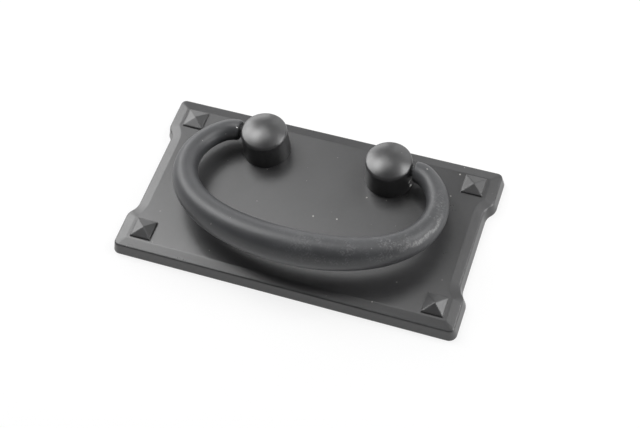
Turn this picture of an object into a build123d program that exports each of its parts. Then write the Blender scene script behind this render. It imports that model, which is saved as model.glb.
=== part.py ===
"""Drop pull for a drawer or a cabinet door.

A cast back plate with four corner ears and four pyramid studs carries two domed posts.
A tapered round bail hangs between the posts on a pin at each of its ends.
Lengths are millimetres. The origin is the centre of the plate's back face, +Z points out of
the drawer front, +X along the plate and +Y from the grip towards the posts.
"""
from build123d import *
from math import asin, atan2, cos, degrees, pi, radians, sin, tan
import os

# Back plate
plate_length = 102.0
plate_width = 55.6
edge_height = 3.5  # height of the side walls
edge_draft = 0.8  # how far the side walls lean in over their height
edge_round = 0.35  # rounding of the top of the side walls
bevel_width = 2.9
bevel_rise = 0.6
corner_radius = 2.3
ear_length = 10.7  # straight end of an ear, from the long side
step_length = 5.4  # length of the S-shaped step beside an ear
step_depth = 2.05  # how far the short sides lie back between the ears

# Pyramid studs
stud_size = 6.1
stud_plinth = 0.5
stud_peak = 1.1
stud_inset_x = 7.8  # from the end of the plate to a stud's middle
stud_inset_y = 7.4  # from the long side of the plate

# Posts
post_spacing = 38.0
post_inset = 11.3  # from the plate's rear edge to the middle of the posts
post_diameter = 14.3  # where it meets the plate
post_taper = 0.35  # how far the side leans in up to the head
post_height = 7.9  # from the plate's face to the head
head_roll_radius = 0.9  # rolled edge of the head
crown_radius = 14.5  # of the dome
spigot_diameter = 9.0  # end of a post that goes through the plate
spigot_clearance = 0.05  # radial
spigot_setback = 0.2  # the spigot ends this far short of the plate's back

# Screw holes in the posts
thread_core_diameter = 3.3
thread_depth = 8.0
drill_point_angle = 118.0
thread_chamfer = 0.4

# Bail
pivot_height = 10.1  # above the plate's back
bail_half_width = 36.8  # to the centreline at its widest
bail_drop = 37.3  # from the pivot line to the centreline of the grip
shoulder_drop = 13.9  # from the pivot line to the widest place
shoulder_fullness = 0.48  # 0.55 bends like an ellipse, more is squarer
grip_fullness = 0.6
bail_gap = 0.7  # between a post and the bail's end face
end_diameter = 6.0
end_chamfer = 0.4  # on the rim of an end face
grip_diameter = 10.0
rest_angle = 8.5  # degrees above level, as it stands in its stiff paint
section_count = 29  # round sections that the bail is drawn through

# Pins of the bail in the posts
pin_diameter = 3.0
pin_engagement = 3.0  # length of pin inside a post
pin_clearance = 0.05  # radial
pin_chamfer = 0.3
pin_end_room = 0.4  # between the pin's end and the bottom of its hole

plate_face = edge_height + bevel_rise
post_radius = post_diameter / 2
post_x = post_spacing / 2
post_y = plate_width / 2 - post_inset
rim_radius = post_radius - post_taper
side_at_pivot = post_radius - post_taper * (pivot_height - plate_face) / post_height
pivot_x = post_x + side_at_pivot + bail_gap
pin_tip_x = post_x + side_at_pivot - pin_engagement


def plate_outline(inset):
    """Outline of the plate moved in by inset all round, with the ends of its ears in place."""
    x_ear = plate_length / 2 - inset
    x_waist = x_ear - step_depth
    y_side = plate_width / 2 - inset
    y_ear = plate_width / 2 - ear_length
    y_waist = y_ear - step_length
    # The step is two tangent arcs. Moved in, the outward bend is tighter and the other wider.
    both_radii = (step_length**2 + step_depth**2) / (2 * step_depth)
    tightest = edge_round / 2
    outward_radius = max(both_radii / 2 - inset, tightest)
    inward_radius = both_radii - outward_radius
    turn = asin(step_length / both_radii)
    x_mid = x_waist + inward_radius * (1 - cos(turn))
    y_mid = y_waist + inward_radius * sin(turn)
    corner = max(corner_radius - inset, tightest)
    with BuildLine() as quarter:
        Line((x_waist, 0), (x_waist, y_waist))
        TangentArc((x_waist, y_waist), (x_mid, y_mid), tangent=(0, 1))
        TangentArc((x_ear, y_ear), (x_mid, y_mid), tangent=(0, -1))
        Line((x_ear, y_ear), (x_ear, y_side - corner))
        TangentArc((x_ear, y_side - corner), (x_ear - corner, y_side), tangent=(0, 1))
        Line((x_ear - corner, y_side), (0, y_side))
    right_half = quarter.edges() + [edge.mirror(Plane.XZ) for edge in quarter.edges()]
    left_half = [edge.mirror(Plane.YZ) for edge in right_half]
    return make_face(right_half + left_half)


def make_stud():
    """Square plinth with a low pyramid, standing on the plane z = 0."""
    square = Rectangle(stud_size, stud_size)
    apex = Vertex(0, 0, stud_plinth + stud_peak)
    return extrude(square, stud_plinth) + loft([Pos(0, 0, stud_plinth) * square, apex])


def make_back_plate():
    """Drafted side walls, a bevel all round, the studs and a hole for each post's spigot."""
    base = plate_outline(0)
    crease = Pos(0, 0, edge_height) * plate_outline(edge_draft)
    field = Pos(0, 0, plate_face) * plate_outline(edge_draft + bevel_width)
    plate = loft([base, crease], ruled=True) + loft([crease, field], ruled=True)
    crease_edges = plate.edges().filter_by_position(Axis.Z, edge_height, edge_height)
    plate = fillet(crease_edges, edge_round)
    stud_x = plate_length / 2 - stud_inset_x
    stud_y = plate_width / 2 - stud_inset_y
    for x in (-stud_x, stud_x):
        for y in (-stud_y, stud_y):
            plate += Pos(x, y, plate_face) * make_stud()
    spigot_hole = extrude(Circle(spigot_diameter / 2 + spigot_clearance), plate_face)
    for x in (-post_x, post_x):
        plate -= Pos(x, post_y, 0) * spigot_hole
    return plate


def make_screw_hole():
    """Drilled core of the thread, with a countersunk mouth at the spigot's end."""
    core_radius = thread_core_diameter / 2
    bottom = spigot_setback + thread_depth
    point = bottom + core_radius / tan(radians(drill_point_angle / 2))
    profile = Polyline(
        (0, spigot_setback),
        (core_radius + thread_chamfer, spigot_setback),
        (core_radius, spigot_setback + thread_chamfer),
        (core_radius, bottom),
        (0, point),
        close=True,
    )
    return revolve(Plane.XZ * make_face(profile), Axis.Z)


def make_post():
    """Post on its own axis: spigot, tapered body and a domed head with a rolled edge."""
    spigot_radius = spigot_diameter / 2
    shoulder = plate_face + post_height
    # The side, the rolled edge and the wide arc of the dome meet tangentially.
    lean = atan2(post_taper, post_height)
    roll_x = rim_radius - head_roll_radius * cos(lean)
    crown_angle = asin(roll_x / (crown_radius - head_roll_radius))
    roll_turn = pi / 2 - lean - crown_angle
    rim = (rim_radius, shoulder)
    roll = JernArc(rim, (-sin(lean), cos(lean)), head_roll_radius, degrees(roll_turn))
    crown = JernArc(roll @ 1, roll % 1, crown_radius, degrees(crown_angle))
    body = Polyline(
        crown @ 1,
        (0, spigot_setback),
        (spigot_radius, spigot_setback),
        (spigot_radius, plate_face),
        (post_radius, plate_face),
        rim,
    )
    post = revolve(Plane.XZ * make_face([body, roll, crown]), Axis.Z)
    return post - make_screw_hole()


def make_pin_hole():
    """Blind hole along +X for a pin, from its bottom to the outside of the post."""
    bottom = pin_tip_x - pin_end_room
    drill = extrude(Circle(pin_diameter / 2 + pin_clearance), pivot_x - bottom)
    return Pos(bottom, post_y, pivot_height) * Rot(0, 90, 0) * drill


def make_bend(start, corner, end, fullness):
    """Curve that leaves start towards the corner and reaches end from the corner."""
    start, corner, end = Vector(*start), Vector(*corner), Vector(*end)
    leave = start + (corner - start) * fullness
    arrive = end + (corner - end) * fullness
    return Bezier(start, leave, arrive, end)


def make_bail_end():
    """Turned end on the X axis: end face and the pin that goes into the post."""
    pin_radius = pin_diameter / 2
    end_radius = end_diameter / 2
    profile = Polyline(
        (pivot_x + end_chamfer, 0),
        (pin_tip_x, 0),
        (pin_tip_x, pin_radius - pin_chamfer),
        (pin_tip_x + pin_chamfer, pin_radius),
        (pivot_x, pin_radius),
        (pivot_x, end_radius - end_chamfer),
        (pivot_x + end_chamfer, end_radius),
        close=True,
    )
    return revolve(make_face(profile), Axis.X)


def make_bail():
    """Round bar bent into a bow, thickest at the grip, with its pivot line on the X axis."""
    widest = (bail_half_width, -shoulder_drop)
    side = make_bend(
        (pivot_x + end_chamfer, 0), (bail_half_width, 0), widest, shoulder_fullness
    )
    bow = make_bend(widest, (bail_half_width, -bail_drop), (0, -bail_drop), grip_fullness)
    path = Wire([side, bow, bow.mirror(Plane.YZ), side.mirror(Plane.YZ)])
    sections = []
    for number in range(section_count):
        share = number / (section_count - 1)
        swell = (1 - cos(2 * pi * share)) / 2
        diameter = end_diameter + (grip_diameter - end_diameter) * swell
        sections.append(Plane(path ^ share) * Circle(diameter / 2))
    right_end = make_bail_end()
    return loft(sections) + right_end + right_end.mirror(Plane.YZ)


back_plate = make_back_plate()
right_post = Pos(post_x, post_y, 0) * make_post() - make_pin_hole()
left_post = right_post.mirror(Plane.YZ)
bail = Pos(0, post_y, pivot_height) * Rot(-rest_angle, 0, 0) * make_bail()

os.makedirs("parts", exist_ok=True)
export_step(back_plate, "parts/back_plate.step")
export_step(left_post, "parts/left_post.step")
export_step(right_post, "parts/right_post.step")
export_step(bail, "parts/bail.step")
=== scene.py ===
"""Looks of the drop pull: its matte black coats, the pale floor, the lamps and the camera."""

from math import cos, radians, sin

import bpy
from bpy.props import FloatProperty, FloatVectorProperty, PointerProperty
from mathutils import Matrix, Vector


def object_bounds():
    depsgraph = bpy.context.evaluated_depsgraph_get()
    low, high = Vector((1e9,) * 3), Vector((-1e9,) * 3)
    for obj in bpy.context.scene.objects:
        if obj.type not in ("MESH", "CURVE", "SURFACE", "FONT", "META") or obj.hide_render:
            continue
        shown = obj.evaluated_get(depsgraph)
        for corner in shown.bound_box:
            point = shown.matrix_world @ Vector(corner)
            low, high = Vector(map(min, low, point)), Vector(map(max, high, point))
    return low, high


bl_info = {
    "name": "Drop Pull",
    "version": (1, 0, 0),
    "blender": (4, 5, 0),
    "location": "View3D > Sidebar > Drop Pull",
    "description": "Coats the plate, posts and bail of a drop pull and sets its stage",
    "category": "Object",
}

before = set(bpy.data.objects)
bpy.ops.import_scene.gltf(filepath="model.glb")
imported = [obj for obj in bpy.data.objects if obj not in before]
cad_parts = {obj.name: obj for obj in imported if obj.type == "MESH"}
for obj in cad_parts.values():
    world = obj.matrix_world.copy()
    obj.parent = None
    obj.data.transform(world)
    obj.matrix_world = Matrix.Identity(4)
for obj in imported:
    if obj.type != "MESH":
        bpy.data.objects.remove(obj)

MM = 0.001
LOWEST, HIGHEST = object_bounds()

# Powder coat: sizes of its clouds and grains, and how far they swing
TONE_CLOUDS = 14 * MM
TONE_GRAINS = 0.9 * MM
TONE_SWING = 0.14  # share of the colour, to either side
CLOUD_SHARE = 0.75  # of the swing in tone, the rest is grains
SHEEN_CLOUDS = 8 * MM
SHEEN_GRAINS = 0.5 * MM
SHEEN_SWING = 0.02  # roughness, to either side
SHEEN_GRAIN_SWING = 0.008
FILM_ROUGHNESS = 0.2  # of the clear film over the coat
EDGE_SAMPLES = 6

# Wear along the edges, which also stands as a painted highlight on them
WEAR_AND_HIGHLIGHT_REACH = 0.5 * MM
WEAR_AND_HIGHLIGHT_PATCHES = 1.5 * MM
WEAR_AND_HIGHLIGHT_PALER = 2.2  # times the coat's colour

# Dry film on the bail, which also stands as a painted highlight
CHALK_AND_HIGHLIGHT_CLOUDS = 3 * MM
CHALK_AND_HIGHLIGHT_GRAINS = 0.5 * MM
CHALK_ROUGHER = 0.1
CHALK_HEIGHT = 0.8  # against the coat's own relief
# Painted highlight streak on the bail's right shoulder
HIGHLIGHT_STREAK_WANDER = 2.5 * MM  # length of its bends
HIGHLIGHT_STREAK_GRAINS = 0.45 * MM

# Chips down to the metal, painted pale so that they also stand as painted glints
CHIP_GRAINS = 0.5 * MM
CHIP_RAGGED = 0.35  # share of its radius
CHIP_SMOOTHER = 0.12
CHIP_SHINE = 0.05  # share of metal: kept low, so the spots show pale as painted glints

# Chips on the right post, below its pin, painted pale as glints: place and radius
POST_CHIPS_AND_GLINTS = (
    ((25.74 * MM, 14.60 * MM, 7.55 * MM), 0.58 * MM),
    ((25.86 * MM, 14.80 * MM, 5.45 * MM), 0.54 * MM),
    ((25.90 * MM, 15.05 * MM, 5.00 * MM), 0.34 * MM),
)
# Worn spots on the rim of the bail's left end, painted pale as glints: place and radius
BAIL_WORN_SPOTS_AND_GLINTS = (
    ((-26.95 * MM, 19.25 * MM, 10.95 * MM), 0.14 * MM),
    ((-27.00 * MM, 15.40 * MM, 12.85 * MM), 0.16 * MM),
)
# Dry film and painted highlight on the grip and the right shoulder: middle, reach and strength
BAIL_CHALK_AND_HIGHLIGHT = (
    ((16 * MM, -18 * MM, 17 * MM), 24 * MM, 0.28),
    ((30 * MM, -11 * MM, 18 * MM), 9 * MM, 0.4),
    ((37 * MM, 2 * MM, 14 * MM), 12 * MM, 0.4),
)

# Floor, camera and lamps
FLOOR_SEGMENTS = 96
SWEEP_STEPS = 12
FLOOR_GAP = 0.1 * MM  # between the plate's back and the floor
SENSOR_WIDTH = 36  # millimetres
NEAREST_SEEN = 0.01
CAMERA_AIM = (2.577 * MM, 1.314 * MM, 0)
# Soft boxes: where each stands, its width and height, and its power in watts.
# All of them face the middle of the pull.
SOFT_BOXES = {
    "left_far_lamp": ((-0.80, 0.45, 0.45), (0.50, 0.40), 2.70),
    "left_high_lamp": ((-0.36, 0.13, 0.47), (0.30, 0.40), 1.80),
    "back_left_lamp": ((-0.40, 0.55, 0.15), (0.45, 0.22), 0.75),
    "back_corner_lamp": ((-0.31, 0.23, 0.47), (0.40, 0.35), 0.12),
    "back_lamp": ((-0.20, 0.45, 0.35), (0.45, 0.35), 0.18),
    "main_lamp": ((-0.18, 0.15, 0.52), (0.34, 0.32), 0.85),
    "back_right_lamp": ((0.14, 0.62, 0.30), (0.50, 0.35), 0.70),
    "right_back_lamp": ((0.25, 0.34, 0.43), (0.40, 0.35), 0.20),
    "right_high_lamp": ((0.12, 0.17, 0.46), (0.40, 0.35), 0.20),
    "right_lamp": ((0.32, 0.145, 0.36), (0.25, 0.25), 1.15),
    "right_low_lamp": ((0.49, 0.036, 0.11), (0.20, 0.20), 0.70),
}


class CoatSettings(bpy.types.PropertyGroup):
    """Powder coat of the pieces and the marks on it."""

    plate_colour: FloatVectorProperty(
        name="Plate colour", description="Coat of the back plate",
        subtype="COLOR", size=3, min=0, max=1, default=(0.036, 0.036, 0.037))
    post_colour: FloatVectorProperty(
        name="Post colour", description="Coat of the posts",
        subtype="COLOR", size=3, min=0, max=1, default=(0.032, 0.032, 0.033))
    bail_colour: FloatVectorProperty(
        name="Bail colour", description="Coat of the bail",
        subtype="COLOR", size=3, min=0, max=1, default=(0.044, 0.045, 0.048))
    plate_roughness: FloatProperty(
        name="Plate roughness", description="Roughness of the plate's coat",
        subtype="FACTOR", min=0, max=1, default=0.30)
    post_roughness: FloatProperty(
        name="Post roughness", description="Roughness of the posts' coat",
        subtype="FACTOR", min=0, max=1, default=0.30)
    bail_roughness: FloatProperty(
        name="Bail roughness", description="Roughness of the bail's coat",
        subtype="FACTOR", min=0, max=1, default=0.46)
    plate_ior: FloatProperty(
        name="Plate IOR", description="Index of refraction of the plate's coat",
        min=1, max=3, default=1.62)
    post_ior: FloatProperty(
        name="Post IOR", description="Index of refraction of the posts' coat",
        min=1, max=3, default=1.72)
    bail_ior: FloatProperty(
        name="Bail IOR", description="Index of refraction of the bail's coat",
        min=1, max=3, default=1.52)
    plate_film: FloatProperty(
        name="Plate film", description="Share of clear film over the plate's coat",
        subtype="FACTOR", min=0, max=1, default=0)
    post_film: FloatProperty(
        name="Post film", description="Share of clear film over the posts' coat",
        subtype="FACTOR", min=0, max=1, default=0)
    bail_film: FloatProperty(
        name="Bail film", description="Share of clear film over the bail's coat",
        subtype="FACTOR", min=0, max=1, default=0.08)
    plate_edge: FloatProperty(
        name="Plate edge", description="How far the coat rounds off the plate's edges",
        subtype="DISTANCE", unit="LENGTH", min=0, default=0.55 * MM)
    post_edge: FloatProperty(
        name="Post edge", description="How far the coat rounds off the posts' edges",
        subtype="DISTANCE", unit="LENGTH", min=0, default=0.25 * MM)
    bail_edge: FloatProperty(
        name="Bail edge", description="How far the coat rounds off the bail's edges",
        subtype="DISTANCE", unit="LENGTH", min=0, default=0.25 * MM)
    grain: FloatProperty(
        name="Grain", description="Size of the coat's finest texture",
        subtype="DISTANCE", unit="LENGTH", min=0, default=0.35 * MM)
    relief: FloatProperty(
        name="Relief", description="Height of the coat's texture",
        subtype="DISTANCE", unit="LENGTH", min=0, default=0.008 * MM)
    dust_colour: FloatVectorProperty(
        name="Dust colour", description="Specks of dust on the coat",
        subtype="COLOR", size=3, min=0, max=1, default=(0.34, 0.33, 0.31))
    # Pale film on the bail, partly a painted highlight; also the colour of the painted
    # highlight streak
    chalk_and_highlight_colour: FloatVectorProperty(
        name="Chalk colour", description="Dry film that hands leave on the bail",
        subtype="COLOR", size=3, min=0, max=1, default=(0.22, 0.22, 0.22))
    # Pale colour of the chips, which also stand as painted glints
    metal_and_glint_colour: FloatVectorProperty(
        name="Bare metal colour", description="Metal that shows where the coat is chipped",
        subtype="COLOR", size=3, min=0, max=1, default=(0.90, 0.89, 0.87))


class StageSettings(bpy.types.PropertyGroup):
    """Floor, lamps and camera."""

    floor_radius: FloatProperty(
        name="Floor radius", description="From the middle of the floor to its low wall",
        subtype="DISTANCE", unit="LENGTH", min=0, default=2.6)
    sweep_radius: FloatProperty(
        name="Sweep radius", description="Bend between the floor and its wall",
        subtype="DISTANCE", unit="LENGTH", min=0, default=0.6)
    wall_height: FloatProperty(
        name="Wall height", description="Height of the wall round the floor",
        subtype="DISTANCE", unit="LENGTH", min=0, default=0.75)
    floor_colour: FloatVectorProperty(
        name="Floor colour", description="Pale floor",
        subtype="COLOR", size=3, min=0, max=1, default=(0.90, 0.90, 0.90))
    floor_glow: FloatProperty(
        name="Floor glow", description="Share of plain white in the floor as it is seen",
        subtype="FACTOR", min=0, max=1, default=0.8)
    room_level: FloatProperty(
        name="Room level", description="Plain light from the room above the wall",
        subtype="FACTOR", min=0, max=1, default=0.015)
    lamp_level: FloatProperty(
        name="Lamp level", description="Factor on the power of all lamps",
        subtype="FACTOR", min=0, soft_max=2, default=1.0)
    camera_distance: FloatProperty(
        name="Camera distance", description="From the camera to the point that it looks at",
        subtype="DISTANCE", unit="LENGTH", min=0, default=0.3809)
    camera_azimuth: FloatProperty(
        name="Camera azimuth", description="Turn of the camera about the upright axis",
        subtype="ANGLE", default=radians(24.21))
    camera_elevation: FloatProperty(
        name="Camera elevation", description="Height of the camera as an angle",
        subtype="ANGLE", default=radians(56.71))
    camera_roll: FloatProperty(
        name="Camera roll", description="Tilt of the picture",
        subtype="ANGLE", default=radians(-6.61))
    lens: FloatProperty(
        name="Lens", description="Focal length on a 36 mm wide sensor, in millimetres",
        subtype="DISTANCE_CAMERA", min=1, default=73.95)


class Nodes:
    """Empty node tree that is filled one node at a time."""

    def __init__(self, tree):
        self.tree = tree
        tree.nodes.clear()

    def node(self, kind, **values):
        """Adds a node and sets the values that are its own, not its sockets'."""
        made = self.tree.nodes.new(kind)
        for key, value in values.items():
            setattr(made, key, value)
        return made

    def join(self, source, target):
        """Links source, or sets it where it is a plain value."""
        if isinstance(source, bpy.types.NodeSocket):
            self.tree.links.new(source, target)
        elif target.type == "RGBA":
            target.default_value = (*source, 1)
        else:
            target.default_value = source

    def combine(self, kind, first, second):
        """Two numbers, links or plain values, put through one operation."""
        made = self.node("ShaderNodeMath", operation=kind)
        self.join(first, made.inputs[0])
        self.join(second, made.inputs[1])
        return made.outputs["Value"]

    def multiply(self, first, *others):
        """All the numbers multiplied."""
        for other in others:
            first = self.combine("MULTIPLY", first, other)
        return first

    def vectors(self, kind, result, *values):
        """Vectors, links or plain values, put through one operation."""
        made = self.node("ShaderNodeVectorMath", operation=kind)
        for value, target in zip(values, made.inputs):
            self.join(value, target)
        return made.outputs[result]


class Coat(Nodes):
    """Node material of a powder coat, built one layer at a time."""

    def __init__(self, piece, settings):
        """Plain coat of a piece, from that piece's own settings."""
        self.material = bpy.data.materials.new(f"{piece}_coat")
        self.material.use_nodes = True
        super().__init__(self.material.node_tree)
        self.settings = settings
        self.soft_edge = getattr(settings, f"{piece}_edge")
        self.shader = self.node("ShaderNodeBsdfPrincipled")
        self.join(getattr(settings, f"{piece}_ior"), self.shader.inputs["IOR"])
        self.join(getattr(settings, f"{piece}_film"), self.shader.inputs["Coat Weight"])
        self.join(FILM_ROUGHNESS, self.shader.inputs["Coat Roughness"])
        output = self.node("ShaderNodeOutputMaterial")
        self.join(self.shader.outputs["BSDF"], output.inputs["Surface"])
        placing = self.node("ShaderNodeTexCoord")
        self.place = placing.outputs["Object"]
        facing = self.node("ShaderNodeSeparateXYZ")
        self.join(placing.outputs["Normal"], facing.inputs["Vector"])
        self.upward = facing.outputs["Z"]
        self.base = tuple(getattr(settings, f"{piece}_colour"))
        self.colour = self.mottle()
        self.roughness = self.sheen(getattr(settings, f"{piece}_roughness"))
        self.height = self.noise(settings.grain, 2)
        # Mask of the chips, which also stand as painted glints
        self.metal = None

    def noise(self, size, detail=3):
        """Noise whose features are about as wide as size."""
        made = self.node("ShaderNodeTexNoise")
        made.inputs["Scale"].default_value = 1 / size
        made.inputs["Detail"].default_value = detail
        made.inputs["Roughness"].default_value = 0.55
        self.join(self.place, made.inputs["Vector"])
        return made.outputs["Fac"]

    def spread(self, value, low, high, to_low=0, to_high=1):
        """Value between low and high moved to between to_low and to_high."""
        made = self.node("ShaderNodeMapRange", interpolation_type="SMOOTHSTEP")
        for name, number in (
                ("From Min", low), ("From Max", high), ("To Min", to_low), ("To Max", to_high)):
            made.inputs[name].default_value = number
        self.join(value, made.inputs["Value"])
        return made.outputs["Result"]

    def distance(self, place):
        """From a point of the surface to a place."""
        return self.vectors("DISTANCE", "Value", self.place, place)

    def edge_normal(self, reach):
        """Normal that turns smoothly over an edge, from reach before it."""
        edge = self.node("ShaderNodeBevel", samples=EDGE_SAMPLES)
        edge.inputs["Radius"].default_value = reach
        return edge.outputs["Normal"]

    def blend(self, share, under, over):
        """Colour under with over laid on it by share."""
        made = self.node("ShaderNodeMix", data_type="RGBA")
        self.join(share, made.inputs["Factor"])
        colours = [socket for socket in made.inputs if socket.type == "RGBA"]
        self.join(under, colours[0])
        self.join(over, colours[1])
        return [socket for socket in made.outputs if socket.type == "RGBA"][0]

    def cover(self, share, colour):
        """Lays a colour on the coat by share."""
        self.colour = self.blend(share, self.colour, tuple(colour))

    def tinted(self, factor):
        """The coat's own colour, paler or darker."""
        return tuple(channel * factor for channel in self.base)

    def mottle(self):
        """Cloudy change of tone, as powder of uneven thickness gives."""
        clouds = self.spread(self.noise(TONE_CLOUDS), 0.25, 0.75, 0, CLOUD_SHARE)
        grains = self.spread(self.noise(TONE_GRAINS), 0.3, 0.7, 0, 1 - CLOUD_SHARE)
        return self.blend(
            self.combine("ADD", clouds, grains),
            self.tinted(1 - TONE_SWING), self.tinted(1 + TONE_SWING))

    def sheen(self, middle):
        """Patches that are a little smoother or rougher than the rest."""
        clouds = self.spread(
            self.noise(SHEEN_CLOUDS), 0.25, 0.75, middle - SHEEN_SWING, middle + SHEEN_SWING)
        grains = self.spread(
            self.noise(SHEEN_GRAINS, 2), 0.3, 0.7, -SHEEN_GRAIN_SWING, SHEEN_GRAIN_SWING)
        return self.combine("ADD", clouds, grains)

    def burnish_and_edge_highlight(self, strength):
        """Thin coat along the edges, paler in patches: wear, and a painted highlight along
        every edge.
        """
        surface = self.node("ShaderNodeNewGeometry")
        flatness = self.vectors(
            "DOT_PRODUCT", "Value", self.edge_normal(WEAR_AND_HIGHLIGHT_REACH), surface.outputs["Normal"])
        edges = self.spread(flatness, 0.999, 0.93, 0, strength)
        patches = self.spread(self.noise(WEAR_AND_HIGHLIGHT_PATCHES), 0.35, 0.65)
        # Paler edges: partly wear, partly a painted edge highlight.
        self.cover(self.multiply(edges, patches), self.tinted(WEAR_AND_HIGHLIGHT_PALER))

    def lay_dust(self, spacing, size, seed):
        """Pale specks that lie on what faces up: some cells hold one dot each."""
        shift = (seed * MM, 2 * seed * MM, 0)
        flat = self.vectors("MULTIPLY_ADD", "Vector", self.place, (1, 1, 0), shift)
        ragged = self.node("ShaderNodeTexNoise")
        ragged.inputs["Scale"].default_value = 1 / size
        self.join(flat, ragged.inputs["Vector"])
        bent = self.vectors(
            "MULTIPLY_ADD", "Vector", ragged.outputs["Color"], (size, size, 0), flat)
        cells = self.node("ShaderNodeTexVoronoi", voronoi_dimensions="2D")
        cells.inputs["Scale"].default_value = 1 / spacing
        self.join(bent, cells.inputs["Vector"])
        pick = self.node("ShaderNodeSeparateColor")
        self.join(cells.outputs["Color"], pick.inputs["Color"])
        reach = self.spread(pick.outputs["Blue"], 0.2, 1, 0.4 * size / spacing, size / spacing)
        dot = self.combine("LESS_THAN", cells.outputs["Distance"], reach)
        chosen = self.spread(pick.outputs["Red"], 0.55, 1, 0, 0.9)
        facing_up = self.spread(self.upward, 0.2, 0.6)
        self.cover(self.multiply(dot, chosen, facing_up), self.settings.dust_colour)

    def lay_chalk_and_highlight(self, middle, reach, strength):
        """Dry pale film around a place that hands take hold of, on what faces up; it also
        stands as a painted highlight there.
        """
        near = self.spread(self.distance(middle), reach, 0.3 * reach)
        clouds = self.spread(self.noise(CHALK_AND_HIGHLIGHT_CLOUDS), 0.38, 0.66)
        grains = self.spread(self.noise(CHALK_AND_HIGHLIGHT_GRAINS, 2), 0.42, 0.72)
        facing_up = self.spread(self.upward, 0.1, 0.5)
        film = self.multiply(near, clouds, grains, facing_up)
        # Partly a painted highlight: the pale film lies where the bail's highlight sparkles.
        self.cover(self.multiply(film, strength), self.settings.chalk_and_highlight_colour)
        self.roughness = self.combine("ADD", self.roughness, self.multiply(film, CHALK_ROUGHER))
        self.height = self.combine("ADD", self.height, self.multiply(film, CHALK_HEIGHT))

    def lay_highlight_streak(self, centre, radius, width, middle, reach, strength):
        """Painted highlight: thin grainy pale streak along an arc about an upright axis, around
        its middle.
        """
        flat = self.vectors("MULTIPLY", "Vector", self.place, (1, 1, 0))
        out = self.vectors("DISTANCE", "Value", flat, centre)
        wander = self.spread(
            self.noise(HIGHLIGHT_STREAK_WANDER, 2), 0.3, 0.7, -0.5 * width, 0.5 * width)
        beside = self.combine("ADD", self.combine("SUBTRACT", out, radius), wander)
        line = self.spread(self.combine("ABSOLUTE", beside, 0), width, 0.1 * width)
        near = self.spread(self.distance(middle), reach, 0.4 * reach)
        grains = self.spread(self.noise(HIGHLIGHT_STREAK_GRAINS, 2), 0.36, 0.62, 0.3, 1)
        # Painted highlight, in the film's pale colour.
        self.cover(self.multiply(line, near, grains, strength), self.settings.chalk_and_highlight_colour)

    def chip_and_glint(self, spots):
        """Ragged spots where the bare metal shows, painted pale so that they also stand as
        painted glints.
        """
        ragged = self.spread(self.noise(CHIP_GRAINS, 2), 0.3, 0.7, -CHIP_RAGGED, CHIP_RAGGED)
        for place, radius in spots:
            out = self.combine("DIVIDE", self.distance(place), radius)
            spot = self.spread(self.combine("ADD", out, ragged), 1, 0.8)
            self.metal = self.combine("MAXIMUM", self.metal, spot) if self.metal else spot
        # Partly a painted glint: the spot is pale and nearly without shine.
        self.cover(self.metal, self.settings.metal_and_glint_colour)
        self.roughness = self.combine(
            "SUBTRACT", self.roughness, self.multiply(self.metal, CHIP_SMOOTHER))

    def finish(self):
        """Joins colour, roughness and relief to the shader."""
        self.join(self.colour, self.shader.inputs["Base Color"])
        self.join(self.roughness, self.shader.inputs["Roughness"])
        if self.metal:
            self.join(self.multiply(self.metal, CHIP_SHINE), self.shader.inputs["Metallic"])
        bump = self.node("ShaderNodeBump")
        bump.inputs["Distance"].default_value = self.settings.relief
        self.join(self.height, bump.inputs["Height"])
        self.join(self.edge_normal(self.soft_edge), bump.inputs["Normal"])
        self.join(bump.outputs["Normal"], self.shader.inputs["Normal"])
        return self.material


def give_coat(node, material):
    """Puts the material in every slot of a CAD node."""
    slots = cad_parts[node].material_slots
    if not slots:
        raise RuntimeError(f"{node} has no slot for its coat")
    for slot in slots:
        slot.material = material


class DROPPULL_OT_coat_plate(bpy.types.Operator):
    """Coat the back plate"""

    bl_idname = "droppull.coat_plate"
    bl_label = "Coat Plate"

    def execute(self, context):
        coat = Coat("plate", context.scene.droppull_coat)
        # Paler edges: wear and a painted edge highlight.
        coat.burnish_and_edge_highlight(strength=0.5)
        coat.lay_dust(spacing=6 * MM, size=0.26 * MM, seed=3)
        give_coat("back_plate", coat.finish())
        return {"FINISHED"}


class DROPPULL_OT_coat_posts(bpy.types.Operator):
    """Coat the two posts"""

    bl_idname = "droppull.coat_posts"
    bl_label = "Coat Posts"

    def execute(self, context):
        coat = Coat("post", context.scene.droppull_coat)
        coat.lay_dust(spacing=5 * MM, size=0.18 * MM, seed=7)
        coat.chip_and_glint(POST_CHIPS_AND_GLINTS)
        material = coat.finish()
        for node in ("left_post", "right_post"):
            give_coat(node, material)
        return {"FINISHED"}


class DROPPULL_OT_coat_bail(bpy.types.Operator):
    """Coat the bail"""

    bl_idname = "droppull.coat_bail"
    bl_label = "Coat Bail"

    def execute(self, context):
        coat = Coat("bail", context.scene.droppull_coat)
        # Paler edges: wear and a painted edge highlight.
        coat.burnish_and_edge_highlight(strength=0.6)
        # Dry film that also stands as a painted highlight.
        for middle, reach, strength in BAIL_CHALK_AND_HIGHLIGHT:
            coat.lay_chalk_and_highlight(middle, reach, strength)
        # Painted highlight along the right shoulder, where a lamp's reflection runs.
        coat.lay_highlight_streak(
            centre=(19.61 * MM, 1.49 * MM, 0), radius=19.36 * MM, width=0.55 * MM,
            middle=(36.66 * MM, -6.5 * MM, 16.4 * MM), reach=11 * MM, strength=0.9)
        coat.lay_dust(spacing=5 * MM, size=0.22 * MM, seed=4)
        coat.chip_and_glint(BAIL_WORN_SPOTS_AND_GLINTS)
        give_coat("bail", coat.finish())
        return {"FINISHED"}


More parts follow.
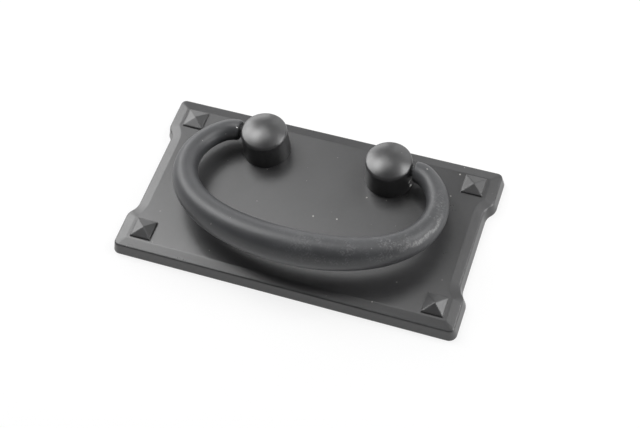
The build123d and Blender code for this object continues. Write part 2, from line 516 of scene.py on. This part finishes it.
class DROPPULL_OT_set_stage(bpy.types.Operator):
    """Set the floor, the lamps and the camera"""

    bl_idname = "droppull.set_stage"
    bl_label = "Set Stage"

    def execute(self, context):
        stage = context.scene.droppull_stage
        self.make_floor(context, stage)
        self.make_world(context, stage)
        for name, (place, size, power) in SOFT_BOXES.items():
            self.make_lamp(context, name, place, size, power * stage.lamp_level)
        self.make_camera(context, stage)
        context.scene.view_settings.view_transform = "Standard"
        return {"FINISHED"}

    def make_floor(self, context, stage):
        """Round floor whose rim curves up into a low wall, as a studio's sweep does."""
        wall = stage.floor_radius
        profile = [(wall - stage.sweep_radius, 0)]
        for step in range(1, SWEEP_STEPS + 1):
            turn = radians(90) * step / SWEEP_STEPS
            profile.append((
                wall - stage.sweep_radius * (1 - sin(turn)),
                stage.sweep_radius * (1 - cos(turn))))
        profile.append((wall, stage.wall_height))
        points = [(0, 0, 0)]
        for radius, height in profile:
            for step in range(FLOOR_SEGMENTS):
                turn = radians(360) * step / FLOOR_SEGMENTS
                points.append((radius * cos(turn), radius * sin(turn), height))
        faces = []
        for step in range(FLOOR_SEGMENTS):
            after = (step + 1) % FLOOR_SEGMENTS
            faces.append((0, 1 + step, 1 + after))
            for ring in range(len(profile) - 1):
                low = 1 + ring * FLOOR_SEGMENTS
                high = low + FLOOR_SEGMENTS
                faces.append((low + step, high + step, high + after, low + after))
        mesh = bpy.data.meshes.new("floor")
        mesh.from_pydata(points, [], faces)
        mesh.shade_smooth()
        mesh.materials.append(self.make_paper(stage))
        floor = bpy.data.objects.new("floor", mesh)
        context.scene.collection.objects.link(floor)
        floor.location.z = LOWEST[2] - FLOOR_GAP

    def make_paper(self, stage):
        """White paper; every ray that sees it as background gets a share of plain white."""
        material = bpy.data.materials.new("floor_paper")
        material.use_nodes = True
        material.cycles.emission_sampling = "NONE"
        nodes = Nodes(material.node_tree)
        paper = nodes.node("ShaderNodeBsdfDiffuse")
        nodes.join(tuple(stage.floor_colour), paper.inputs["Color"])
        glow = nodes.node("ShaderNodeEmission")
        nodes.join((1, 1, 1), glow.inputs["Color"])
        nodes.join(1, glow.inputs["Strength"])
        path = nodes.node("ShaderNodeLightPath")
        seen = path.outputs["Is Camera Ray"]
        for ray in ("Is Glossy Ray", "Is Transmission Ray"):
            seen = nodes.combine("MAXIMUM", seen, path.outputs[ray])
        mix = nodes.node("ShaderNodeMixShader")
        nodes.join(nodes.multiply(seen, stage.floor_glow), mix.inputs["Fac"])
        nodes.join(paper.outputs["BSDF"], mix.inputs[1])
        nodes.join(glow.outputs["Emission"], mix.inputs[2])
        output = nodes.node("ShaderNodeOutputMaterial")
        nodes.join(mix.outputs["Shader"], output.inputs["Surface"])
        return material

    def make_world(self, context, stage):
        """Plain dim room above the sweep."""
        world = bpy.data.worlds.new("studio")
        context.scene.world = world
        world.use_nodes = True
        nodes = Nodes(world.node_tree)
        room = nodes.node("ShaderNodeBackground")
        nodes.join((1, 1, 1), room.inputs["Color"])
        nodes.join(stage.room_level, room.inputs["Strength"])
        output = nodes.node("ShaderNodeOutputWorld")
        nodes.join(room.outputs["Background"], output.inputs["Surface"])

    def make_lamp(self, context, name, place, size, power):
        """Soft box that faces the middle of the pull."""
        data = bpy.data.lights.new(name, "AREA")
        data.shape = "RECTANGLE"
        data.size, data.size_y = size
        data.energy = power
        lamp = bpy.data.objects.new(name, data)
        context.scene.collection.objects.link(lamp)
        lamp.location = place
        away = Vector(place) - Vector((0, 0, HIGHEST[2] / 2))
        lamp.rotation_euler = away.to_track_quat("Z", "Y").to_euler()

    def make_camera(self, context, stage):
        """Camera at the photograph's viewing angle, turned by its roll."""
        data = bpy.data.cameras.new("camera")
        data.sensor_fit = "HORIZONTAL"
        data.sensor_width = SENSOR_WIDTH
        data.lens = stage.lens
        data.clip_start = NEAREST_SEEN
        camera = bpy.data.objects.new("camera", data)
        context.scene.collection.objects.link(camera)
        azimuth, elevation, roll = (
            stage.camera_azimuth, stage.camera_elevation, stage.camera_roll)
        back = Vector((
            sin(azimuth) * cos(elevation), -cos(azimuth) * cos(elevation), sin(elevation)))
        level = Vector((cos(azimuth), sin(azimuth), 0))
        upright = back.cross(level)
        right = level * cos(roll) + upright * sin(roll)
        up = upright * cos(roll) - level * sin(roll)
        turn = Matrix((right, up, back)).transposed().to_4x4()
        stand = Vector(CAMERA_AIM) + back * stage.camera_distance
        camera.matrix_world = Matrix.Translation(stand) @ turn
        context.scene.camera = camera


class DROPPULL_PT_sidebar(bpy.types.Panel):
    """Sizes and colours of the drop pull"""

    bl_idname = "DROPPULL_PT_sidebar"
    bl_label = "Drop Pull"
    bl_space_type = "VIEW_3D"
    bl_region_type = "UI"
    bl_category = "Drop Pull"

    def draw(self, context):
        """Lists the settings, and a button for each operator below them."""
        layout = self.layout
        for settings in (context.scene.droppull_coat, context.scene.droppull_stage):
            box = layout.box()
            for name in settings.__annotations__:
                box.prop(settings, name)
        for operator in OPERATORS:
            layout.operator(operator.bl_idname)


OPERATORS = (
    DROPPULL_OT_coat_plate,
    DROPPULL_OT_coat_posts,
    DROPPULL_OT_coat_bail,
    DROPPULL_OT_set_stage,
)
CLASSES = (CoatSettings, StageSettings) + OPERATORS + (DROPPULL_PT_sidebar,)


def register():
    """Makes the settings, the operators and the panel known to Blender."""
    for made in CLASSES:
        bpy.utils.register_class(made)
    bpy.types.Scene.droppull_coat = PointerProperty(type=CoatSettings)
    bpy.types.Scene.droppull_stage = PointerProperty(type=StageSettings)


def unregister():
    """Takes out what register put in."""
    del bpy.types.Scene.droppull_stage
    del bpy.types.Scene.droppull_coat
    for made in reversed(CLASSES):
        bpy.utils.unregister_class(made)


def main():
    """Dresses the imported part."""
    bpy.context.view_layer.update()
    register()
    bpy.ops.droppull.set_stage()
    bpy.ops.droppull.coat_plate()
    bpy.ops.droppull.coat_posts()
    bpy.ops.droppull.coat_bail()


if __name__ == "__main__":
    main()
